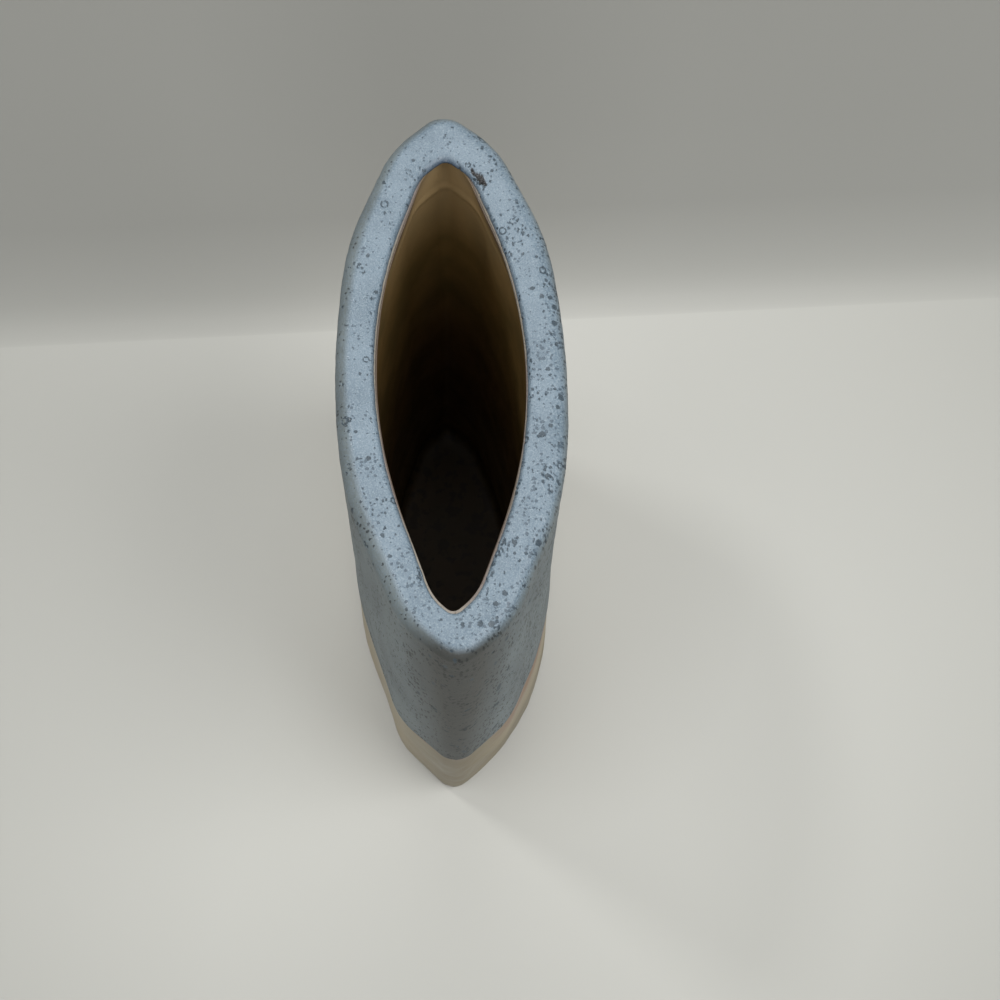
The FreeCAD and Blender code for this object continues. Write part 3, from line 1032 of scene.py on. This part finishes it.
@dataclass(frozen=True)
class Rim:
    """The turned-in rim: a clay band under blue glaze that is rounded outside and rolls in at the lip."""

    form: VaseForm
    columns: int = 1000
    clay_columns: int = 400
    side_step: float = 0.9 * MM
    top_step: float = 0.4 * MM
    edge_radius: float = 4.6 * MM
    edge_share: float = 0.4
    crown: float = 0.35 * MM
    roll_share: float = 0.86
    roll_drop: float = 2.0 * MM
    roll_turn: float = math.radians(82)
    roll_step: float = math.radians(12)
    # Painted shade, partly glaze that gathered, as the lip rolls into the mouth
    roll_pool_and_shade: float = 0.95
    lip_share: float = 0.985
    lip_blend: float = 0.06
    fade_rows: int = 3
    least_fade: float = 0.01
    under: float = 0.7 * MM
    under_inset: float = 0.1 * MM
    under_share: float = 0.97
    under_every: int = 6
    clay_inset: float = 0.2 * MM
    clay_side_drop: float = 0.6 * MM
    clay_crown: Section = (
        (0.16, 2.1 * MM), (0.4, 1.3 * MM), (0.8, 1.5 * MM),
        (0.88, 1.75 * MM), (0.93, 1.9 * MM), (0.965, 2.1 * MM),
    )
    clay_lip: Section = ((0.99, -0.05 * MM), (1.0, 0.35 * MM), (1.0, 1.6 * MM))
    clay_bare_from: float = 0.95
    clay_throat: float = 0.8 * MM
    clay_throat_drop: float = 3.0 * MM
    clay_back: float = 0.7 * MM

    def profile(self) -> list[tuple[float, float, float]]:
        """Works out the section over the top of the rim.

        Returns:
            Share of the way from the outside to the mouth, level, and how dark the glaze is there, partly
            glaze that gathered and partly painted shade as the lip rolls into the mouth.
        """
        top = self.form.rim_levels()[1] + self.form.glaze
        quarter = math.pi / 2
        over = [
            (self.edge_share * (1 - math.cos(turn)), top - self.edge_radius * (1 - math.sin(turn)), 0.0)
            for turn in spread(0.0, quarter, self.top_step / self.edge_radius)
        ]
        width = self.form.rim().half_width - self.form.mouth_half_width
        for share in spread(self.edge_share, self.roll_share, self.top_step / width)[1:]:
            part = (share - self.edge_share) / (self.roll_share - self.edge_share)
            over.append((share, top - self.crown * part ** 2, 0.0))
        for turn in spread(0.0, self.roll_turn, self.roll_step)[1:]:
            part = math.sin(turn)
            share = self.roll_share + (self.lip_share - self.roll_share) * part
            drop = self.crown + self.roll_drop * (1 - math.cos(turn))
            over.append((share, top - drop, self.roll_pool_and_shade * part ** 2))
        return over

    def top_ring(self, outline: Almond, level: float, share: float, shown: float, pool: float) -> Ring:
        """Returns a ring over the top, which follows the outside less and the lip more as it nears it."""
        start = self.roll_share - self.lip_blend
        edge = clamp((share - start) / (self.lip_share - start))
        return Ring(outline, level, shown, pool, 1 - share, share ** 4, edge)

    def glaze_rings(self) -> list[Ring]:
        """Lays out the blue coat.

        Returns:
            Its rings: up the side, over the top, and back underneath.
        """
        outside = self.form.rim().grown(self.form.glaze)
        mouth = self.form.mouth()
        low = self.form.rim_levels()[0]
        over = self.profile()
        rings = [
            Ring(outside, level, min(1.0, row / self.fade_rows + self.least_fade), outer=1.0)
            for row, level in enumerate(spread(low, over[0][1], self.side_step)[:-1])
        ]
        for share, level, pool in over:
            rings.append(self.top_ring(outside.towards(mouth, share), level, share, 1.0, pool))
        inner = self.form.rim().grown(-self.under_inset)
        for share, level, _ in reversed(over[::self.under_every]):
            outline = inner.towards(mouth, share * self.under_share)
            rings.append(self.top_ring(outline, level - self.under, share, 0.0, 0.0))
        return rings + [Ring(inner, low, 0.0)]

    def clay_rings(self) -> list[Ring]:
        """Lays out the clay band, which shows as a thin bare line round the mouth.

        Returns:
            Its rings: up the side, over the top, down the throat, and back underneath.
        """
        clay = self.form.rim().grown(-self.clay_inset)
        mouth = self.form.mouth()
        low, high = self.form.rim_levels()
        top = high + self.form.glaze
        edge = top - self.crown - self.roll_drop
        section = [(0.0, low), (0.0, top - self.edge_radius - self.clay_side_drop)]
        section += [(share, top - drop) for share, drop in self.clay_crown]
        section += [(share, edge - drop) for share, drop in self.clay_lip]
        rings = [
            Ring(clay.towards(mouth, share), level, float(share > self.clay_bare_from), lip=share ** 4)
            for share, level in section
        ]
        rings.append(Ring(self.form.mouth(self.clay_throat), edge - self.clay_throat_drop, 0.0, lip=1.0))
        return rings + [Ring(self.form.cavity(self.clay_back), low, 0.0)]

    def build(self, blue: bpy.types.Material, clay: bpy.types.Material) -> None:
        """Builds and dresses the clay band and the blue coat over it.

        Args:
            blue: The pitted glaze.
            clay: The bare clay.
        """
        band = Coat("rim_clay", self.clay_columns, Relief(ripple=0.03 * MM, tooth=0.02 * MM))
        band.finish(band.skin(self.clay_rings(), True), clay, "rim_band", Slot.CLAY)
        pitting = Pitting(seed=11, singles=230, crowds=22, rings=24, smallest=0.3 * MM, largest=0.58 * MM)
        coat = Coat("rim_blue_glaze", self.columns, Relief(), pitting)
        mesh = coat.skin(self.glaze_rings(), True)
        Crack().open(mesh)
        coat.finish(mesh, blue, "blue_glaze", Slot.BLUE)


@dataclass(frozen=True)
class Walls:
    """The glazed outside of the walls: sand below, blue above it with a thick rolled lower edge."""

    form: VaseForm
    columns: int = 480
    blue_step: float = 0.95 * MM
    sand_step: float = 1.4 * MM
    hidden_step: float = 20.0 * MM
    line_level: float = 65.5 * MM
    roll: float = 0.9 * MM
    roll_inset: float = 0.8
    roll_turns: tuple[float, ...] = (0.0, 30.0, 60.0, 90.0)
    roll_shown: float = 0.4
    roll_pool_and_shade: float = 0.35
    proud: float = 0.3 * MM
    proud_high: float = 6.0 * MM
    pool: float = 0.3
    pool_rows: int = 4
    fade_high: float = 2.0 * MM
    least_fade: float = 0.02
    inner: float = -0.15 * MM
    wiped: float = 0.15 * MM
    wiped_high: float = 0.7 * MM
    wiped_glaze: float = 0.4
    wiped_shown: float = 0.3

    def blue_rings(self) -> list[Ring]:
        """Lays out the blue coat on the walls.

        Returns:
            Its rings: round the rolled edge, up to the rim, and back down inside.
        """
        top = self.form.rim_levels()[0]
        rings = []
        for angle in map(math.radians, self.roll_turns):
            tucked = self.roll * (1 - math.sin(angle))
            offset = self.form.glaze + self.proud - tucked * self.roll_inset
            bottom = self.line_level + self.roll * (1 - math.cos(angle))
            outline = self.form.wall(self.line_level + tucked, offset)
            rings.append(Ring(outline, bottom, self.roll_shown, self.roll_pool_and_shade, outer=1.0))
        start = self.line_level + self.roll
        for row, level in enumerate(spread(start, top, self.blue_step)[1:]):
            offset = self.form.glaze + self.proud * max(0.0, 1 - (level - start) / self.proud_high)
            fade = min(1.0, max(self.least_fade, (top - level) / self.fade_high))
            pool = self.pool * max(0.0, 1 - row / self.pool_rows)
            rings.append(Ring(self.form.wall(level, offset), level, fade, pool, outer=1.0))
        return rings + self.hidden_rings(self.line_level + self.wiped * 2, top)

    def hidden_rings(self, low: float, high: float) -> list[Ring]:
        """Returns the rings of a coat's back, which lies in the clay, from high to low."""
        levels = reversed(spread(low, high, self.hidden_step))
        return [Ring(self.form.wall(level, self.inner), level, 0.0, outer=1.0) for level in levels]

    def sand_rings(self) -> list[Ring]:
        """Lays out the sand coat, whose top edge lies under the blue one.

        Returns:
            Its rings: from the wiped edge up to the glaze line, and back down inside.
        """
        low = self.form.wall_foot + self.wiped
        high = self.line_level + self.roll
        edge = self.form.wall(self.form.wall_foot, self.form.glaze * self.wiped_glaze)
        rings = [Ring(edge, low, self.wiped_shown, outer=1.0)]
        for level in spread(self.form.wall_foot + self.wiped_high, high, self.sand_step):
            rings.append(Ring(self.form.wall(level, self.form.glaze), level, outer=1.0))
        return rings + self.hidden_rings(low, high)

    def build(self, blue: bpy.types.Material, sand: bpy.types.Material) -> None:
        """Builds and dresses both coats.

        Args:
            blue: The pitted glaze.
            sand: The sand glaze.
        """
        pitting = Pitting(
            seed=23, singles=300, crowds=40, rings=0, smallest=0.6 * MM, largest=1.0 * MM, depth=0.22 * MM,
        )
        upper = Coat("wall_blue_glaze", self.columns, Relief(ripple=0.04 * MM, tooth=0.03 * MM), pitting)
        upper.finish(upper.skin(self.blue_rings(), True), blue, "blue_glaze", Slot.BLUE)
        lower = Coat("wall_sand_glaze", self.columns, Relief(tooth=0.02 * MM))
        lower.finish(lower.skin(self.sand_rings(), True), sand, "sand_glaze", Slot.SAND)


@dataclass(frozen=True)
class Liner:
    """The glossy glaze inside: down the throat, out over the seam under the rim, and to the floor."""

    form: VaseForm
    columns: int = 400
    wall_step: float = 3.0 * MM
    throat_step: float = 0.9 * MM
    throat_end: float = 2.0 * MM
    coat: float = 0.6 * MM
    coat_share: float = 0.8
    mouth_inset: float = 0.15 * MM
    lip_drop: float = 3.4 * MM
    seam_level: float = 197.0 * MM
    seam_bulge: float = 0.5 * MM
    seam_reach: float = 1.6 * MM
    corner: float = 3.0 * MM
    corner_turns: tuple[float, ...] = (30.0, 60.0, 90.0)
    floor_rings: int = 22
    hub_share: float = 0.985
    hub_high: float = 50.0 * MM

    def rings(self) -> list[Ring]:
        """Lays out the liner.

        Returns:
            Its rings, from the lip down to the middle of the floor.
        """
        low, high = self.form.rim_levels()
        mouth = self.form.mouth(-self.mouth_inset)
        cavity = self.form.cavity(-self.coat)
        lip = high + self.form.glaze - self.lip_drop
        end = low - self.throat_end
        rings = []
        for level in spread(end, lip, self.throat_step)[::-1]:
            part = (lip - level) / (lip - low)
            ridge = self.seam_bulge * math.exp(-(((level - self.seam_level) / self.seam_reach) ** 2))
            throat = mouth.towards(cavity, min(1.0, part))
            rings.append(Ring(throat.grown(-ridge), level, lip=max(0.0, 1 - part)))
        floor = self.form.wall_foot + self.coat
        for level in spread(floor + self.corner, end, self.wall_step)[::-1][1:]:
            rings.append(Ring(cavity, level))
        start = self.corner / cavity.half_width
        for angle in map(math.radians, self.corner_turns):
            shrunk = cavity.towards(cavity.heart(), start * (1 - math.cos(angle)))
            rings.append(Ring(shrunk, floor + self.corner * (1 - math.sin(angle))))
        for row in range(1, self.floor_rings + 1):
            share = start + (self.hub_share - start) * row / self.floor_rings
            rings.append(Ring(cavity.towards(cavity.heart(), share), floor))
        return rings

    def build(self, gloss: bpy.types.Material) -> None:
        """Builds and dresses the liner, whose faces look into the vase and whose thickness goes outward.

        Args:
            gloss: The liner glaze.
        """
        coat = Coat("liner", self.columns, Relief(waver=0.35 * MM, ripple=0.05 * MM, tooth=0.0))
        mesh = coat.skin(self.rings(), False)
        hub = [edge for edge in mesh.edges if edge.is_boundary and edge.verts[0].co.z < self.hub_high]
        bmesh.ops.contextual_create(mesh, geom=hub)
        bmesh.ops.recalc_face_normals(mesh, faces=mesh.faces)
        if sum(face.normal.z * face.calc_area() for face in mesh.faces) < 0.0:
            bmesh.ops.reverse_faces(mesh, faces=mesh.faces)
        piece = coat.finish(mesh, gloss, "liner_glaze", Slot.LINER)
        wall = piece.modifiers.new("thickness", "SOLIDIFY")
        wall.thickness = self.coat * self.coat_share
        wall.offset = -1.0


@dataclass(frozen=True)
class Clay:
    """The clay under the glazes: the floor slab with its wiped edge, and the two wall slabs on it."""

    form: VaseForm
    columns: int = 240
    bevel: float = 1.6 * MM
    bevel_in: float = 0.4
    bevel_up: float = 0.3
    step: float = 30.0 * MM

    def floor_rings(self) -> list[Ring]:
        """Lays out the floor slab.

        Returns:
            Its rings, from the middle of its underside round to the middle of its top.
        """
        foot, top = self.form.foot(), self.form.wall_foot
        heart, between = foot.heart(), foot.towards(foot.heart(), 0.5)
        section = (
            (foot.grown(-self.bevel), 0.0),
            (foot.grown(-self.bevel * self.bevel_in), self.bevel * self.bevel_up),
            (foot, self.bevel), (foot, top),
        )
        edge = [Ring(outline, level, outer=1.0) for outline, level in section]
        return [Ring(heart, 0.0), Ring(between, 0.0), *edge, Ring(between, top), Ring(heart, top)]

    def wall_rings(self) -> list[Ring]:
        """Lays out both walls as one.

        Returns:
            Their rings: up the outside and down the inside.
        """
        levels = spread(self.form.wall_foot, self.form.rim_levels()[0], self.step)
        outside = [Ring(self.form.wall(level), level, 0.0, outer=1.0) for level in levels]
        return outside + [Ring(self.form.cavity(), level, 0.0) for level in reversed(levels)]

    def close(self, mesh: bmesh.types.BMesh) -> None:
        """Fills the open ends of a slab and turns its faces outward."""
        bmesh.ops.holes_fill(mesh, edges=[edge for edge in mesh.edges if edge.is_boundary], sides=0)
        bmesh.ops.recalc_face_normals(mesh, faces=mesh.faces)

    def build(self, finish: bpy.types.Material) -> None:
        """Builds and dresses the three slabs.

        Args:
            finish: The bare clay.
        """
        still = Relief(waver=0.0, ripple=0.0, tooth=0.0)
        slab = Coat("floor_clay", self.columns, still)
        mesh = slab.skin(self.floor_rings(), False)
        self.close(mesh)
        slab.finish(mesh, finish, "floor_slab", Slot.CLAY)
        for wall, side in (("front_wall", -1), ("back_wall", 1)):
            slab = Coat(f"{wall}_clay", self.columns, still)
            mesh = slab.skin(self.wall_rings(), True)
            bmesh.ops.bisect_plane(
                mesh, geom=mesh.verts[:] + mesh.edges[:] + mesh.faces[:], plane_co=Vector(),
                plane_no=Vector((0.0, side, 0.0)), clear_inner=True,
            )
            self.close(mesh)
            slab.finish(mesh, finish, f"{wall}_slab", Slot.CLAY)


@dataclass(frozen=True)
class Lamp:
    """A square soft lamp that looks at the vase: its height and bearing in degrees, its side and watts."""

    name: str
    height: float
    bearing: float
    size: float
    power: float
    distance: float = 2.4
    aim: tuple[float, float, float] = (0.0, 0.0, 0.1)

    def hang(self) -> None:
        """Makes the lamp and hangs it, looking at the vase."""
        height, bearing = math.radians(self.height), math.radians(self.bearing)
        towards = Vector((
            math.cos(height) * math.cos(bearing), math.cos(height) * math.sin(bearing), math.sin(height)
        ))
        data = bpy.data.lights.new(self.name, "AREA")
        data.shape = "SQUARE"
        data.size = self.size
        data.energy = self.power
        hung = bpy.data.objects.new(self.name, data)
        hung.location = Vector(self.aim) + towards * self.distance
        hung.rotation_euler = towards.to_track_quat("Z", "Y").to_euler()
        bpy.context.scene.collection.objects.link(hung)


@dataclass(frozen=True)
class Studio:
    """A pale paper sweep, soft light from above and the camera of the photograph."""

    paper: str = "#C8C8C2"
    # The paper is painted darker toward its edges and grey on its rise, as shade where the light falls off
    paper_edge_shade: str = "#B2B2AC"
    grey: str = "#92928D"
    lit_middle: tuple[float, float, float] = (0.0, -20.0 * MM, 0.0)
    lit_reach: tuple[float, float] = (100.0 * MM, 250.0 * MM)
    grey_level: float = 25.0 * MM
    grey_power: float = 0.35
    roughness: float = 0.7
    gloss: float = 0.2
    fold: float = 122.5 * MM
    fold_turn: float = math.radians(1.8)
    rise: Section = (
        (-0.03, 0.0), (-0.004, 0.0), (0.004, 0.0016), (0.012, 0.0064), (0.03, 0.0196), (0.06, 0.047),
        (0.12, 0.114), (0.3, 0.34), (0.8, 0.98),
    )
    half_width: float = 2.2
    reach: float = 1.6
    eye: tuple[float, float, float] = (-196.8 * MM, 4.5 * MM, 644.0 * MM)
    pitch: float = 1.2166
    yaw: float = 0.1050
    roll: float = 0.0729
    lens: float = 61.2
    nearest: float = 0.01
    lamps: tuple[Lamp, ...] = (
        Lamp("left_window", 52.0, 106.0, 1.6, 12.0),
        Lamp("right_window", 52.0, -110.0, 1.6, 28.0),
        Lamp("room_in_front", 32.0, 180.0, 1.2, 11.0),
        Lamp("room_behind", 60.0, 0.0, 1.0, 11.0),
        Lamp("lamp_above_right", 67.0, -115.0, 1.2, 9.0),
        Lamp("lamp_above_left", 67.0, 115.0, 1.2, 5.0),
        Lamp("lamp_above", 88.0, 0.0, 0.8, 3.0),
        Lamp("small_window", 60.0, 58.0, 0.28, 9.0),
    )
    ambient: float = 0.02
    beyond: float = 0.32

    def paper_finish(self) -> bpy.types.Material:
        """Makes the matte paper, palest round the vase with painted shade toward its edges, and painted shade
        going grey where it rises away from the lamps.

        Returns:
            The finished material.
        """
        material, tree, shader = fresh_material("pale_paper")
        place = add(tree, "ShaderNodeTexCoord").outputs["Object"]
        level = add(tree, "ShaderNodeSeparateXYZ", {0: place}).outputs["Z"]
        # Painted light: palest round the vase, painted shade further out
        away = add(tree, "ShaderNodeVectorMath", {0: place, 1: self.lit_middle}, operation="DISTANCE")
        start, end = self.lit_reach
        edge = add(tree, "ShaderNodeMapRange", {0: away.outputs["Value"], 1: start, 2: end}).outputs[0]
        risen = add(tree, "ShaderNodeMapRange", {0: level, 1: 0.0, 2: self.grey_level}).outputs[0]
        # The painted shade goes grey quickly at the fold and slowly above it
        risen = add(tree, "ShaderNodeMath", {0: risen, 1: self.grey_power}, operation="POWER").outputs[0]
        colour = self.paper
        for share, over in ((edge, self.paper_edge_shade), (risen, self.grey)):
            colour = add(tree, "ShaderNodeMix", {0: share, 6: colour, 7: over}, data_type="RGBA").outputs[2]
        tree.links.new(colour, shader.inputs["Base Color"])
        shader.inputs["Roughness"].default_value = self.roughness
        shader.inputs["Specular IOR Level"].default_value = self.gloss
        # From behind, the sheet lets the view through to the vase
        back = add(tree, "ShaderNodeNewGeometry").outputs["Backfacing"]
        viewed = add(tree, "ShaderNodeLightPath").outputs["Is Camera Ray"]
        open_share = add(tree, "ShaderNodeMath", {0: back, 1: viewed}, operation="MULTIPLY").outputs[0]
        clear = add(tree, "ShaderNodeBsdfTransparent").outputs[0]
        sheet = add(tree, "ShaderNodeMixShader", {0: open_share, 1: shader.outputs[0], 2: clear}).outputs[0]
        tree.links.new(sheet, tree.nodes["Material Output"].inputs["Surface"])
        return material

    def sweep(self) -> None:
        """Lays the paper: flat under the vase, rising gently behind a soft fold."""
        section = [(-self.reach, 0.0)] + [(self.fold + x, z) for x, z in self.rise]
        last = len(section) - 1
        mesh = bmesh.new()
        bmesh.ops.create_grid(mesh, x_segments=last, y_segments=1, size=0.5)
        for vert in mesh.verts:
            x, z = section[round((vert.co.x + 0.5) * last)]
            vert.co = Vector((x, vert.co.y * 2 * self.half_width, z))
        bmesh.ops.rotate(
            mesh, verts=mesh.verts, cent=Vector((self.fold, 0, 0)),
            matrix=Matrix.Rotation(self.fold_turn, 3, "Z"),
        )
        smooth_object("paper_sweep", mesh, self.paper_finish())
        log.info("paper_sweep: stage")

    def light(self) -> None:
        """Hangs the lamps, and sets the faint even light all round and the grey beyond the paper."""
        for lamp in self.lamps:
            lamp.hang()
        world = bpy.data.worlds.new("even_light")
        world.use_nodes = True
        tree = world.node_tree
        background = tree.nodes["Background"]
        background.inputs["Color"].default_value = (1, 1, 1, 1)
        viewed = add(tree, "ShaderNodeLightPath").outputs["Is Camera Ray"]
        strength = add(tree, "ShaderNodeMapRange", {0: viewed, 3: self.ambient, 4: self.beyond}).outputs[0]
        tree.links.new(strength, background.inputs["Strength"])
        bpy.context.scene.world = world

    def camera(self) -> None:
        """Puts the camera where the photograph was taken, above the near tip."""
        ahead = Vector((
            math.cos(self.yaw) * math.cos(self.pitch), -math.sin(self.yaw) * math.cos(self.pitch),
            -math.sin(self.pitch),
        ))
        level_right = Vector((-math.sin(self.yaw), -math.cos(self.yaw), 0.0))
        level_up = level_right.cross(ahead)
        right = level_right * math.cos(self.roll) + level_up * math.sin(self.roll)
        up = level_up * math.cos(self.roll) - level_right * math.sin(self.roll)
        turn = Matrix((right, up, -ahead)).transposed()
        data = bpy.data.cameras.new("photo_camera")
        data.lens = self.lens
        data.clip_start = self.nearest
        camera = bpy.data.objects.new("photo_camera", data)
        camera.matrix_world = Matrix.Translation(self.eye) @ turn.to_4x4()
        bpy.context.scene.collection.objects.link(camera)
        bpy.context.scene.camera = camera

    def build(self) -> None:
        """Sets up the whole studio."""
        self.sweep()
        self.light()
        self.camera()
        bpy.context.scene.view_settings.view_transform = "Standard"


def main() -> None:
    """Builds the vase's looks piece by piece, and the studio round it."""
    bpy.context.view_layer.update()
    form = VaseForm()
    blue = PittedGlaze().build()
    sand = SandGlaze().build()
    clay = BareClay().build()
    Clay(form).build(clay)
    Rim(form).build(blue, clay)
    Walls(form).build(blue, sand)
    Liner(form).build(LinerGlaze().build())
    Studio().build()


if __name__ == "__main__":
    main()
